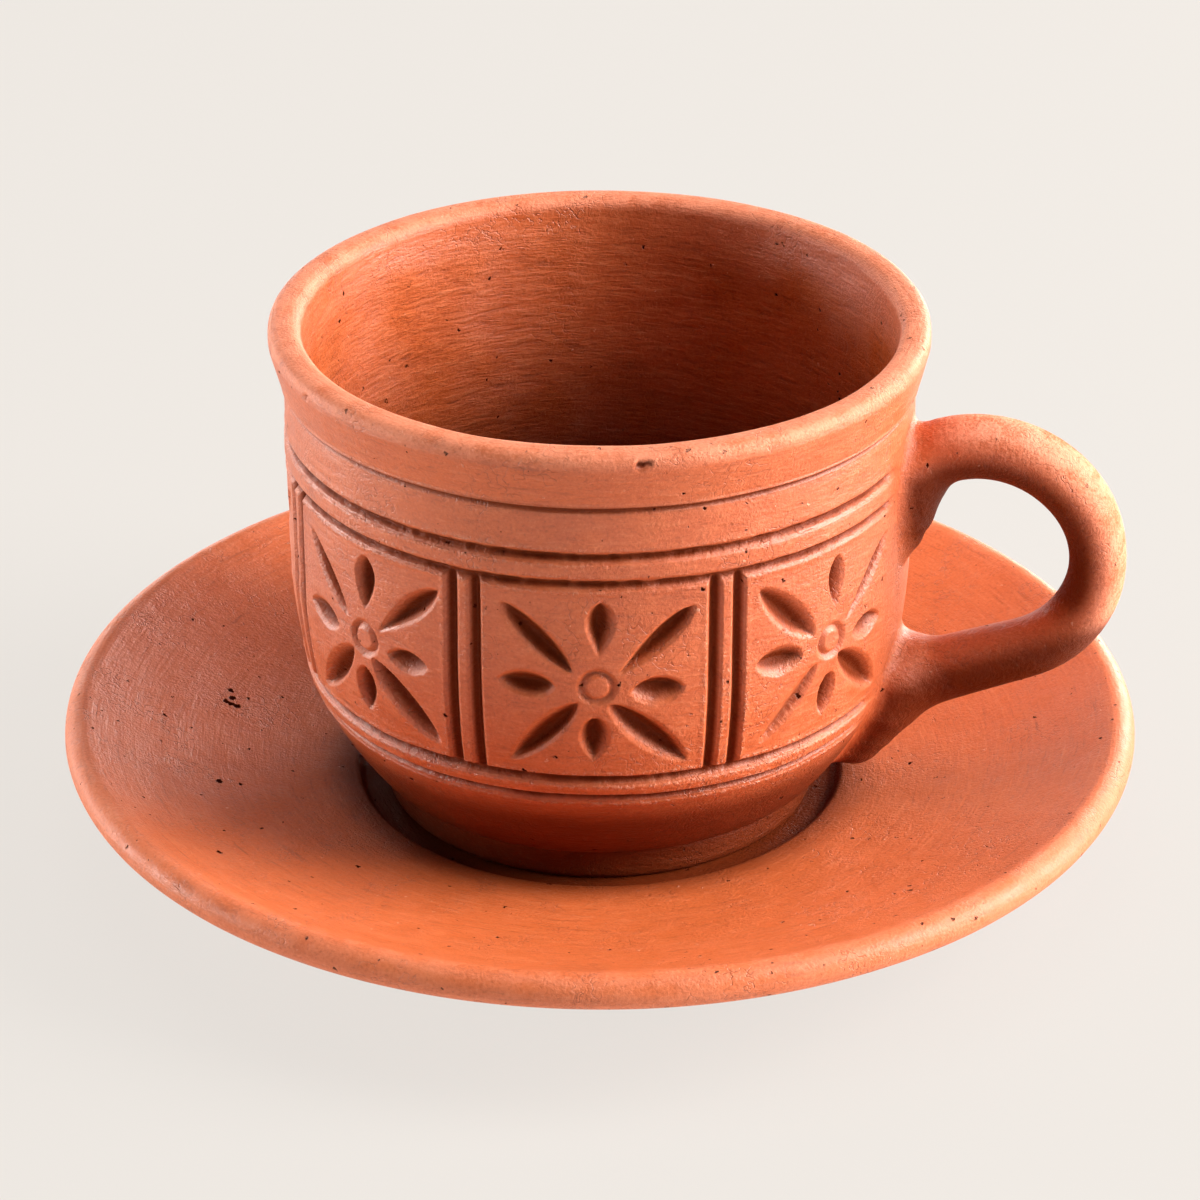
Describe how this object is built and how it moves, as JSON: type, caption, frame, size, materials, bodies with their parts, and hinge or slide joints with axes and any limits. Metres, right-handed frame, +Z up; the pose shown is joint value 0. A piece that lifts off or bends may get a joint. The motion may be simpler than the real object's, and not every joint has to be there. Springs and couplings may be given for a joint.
{
  "type": "cup and saucer",
  "caption": "Unglazed terracotta cup with a loop handle and a carved frieze of flowers in panels, standing in the well of a round dished saucer.",
  "frame": {"origin": "centre of the saucer's foot, on the surface that it stands on", "axes": "+Z up along the common axis of the cup and the saucer, +X towards the cup's handle"},
  "size_m": [0.1416, 0.1416, 0.0738],
  "materials": {
    "saucer_clay": "unglazed fired terracotta, smoothed, with small pits",
    "cup_clay": "unglazed fired terracotta, smoothed and carved",
    "handle_clay": "unglazed fired terracotta, pulled and luted on by hand"
  },
  "bodies": {
    "saucer": {"saucer": "saucer_clay"},
    "cup": {"cup_bowl": "cup_clay", "cup_foot": "cup_clay", "handle": "handle_clay"}
  },
  "joints": [
    {"name": "cup_lift", "type": "slide", "parent": "saucer", "child": "cup", "axis": [0, 0, 1], "range_m": [0, 0.12]}
  ]
}
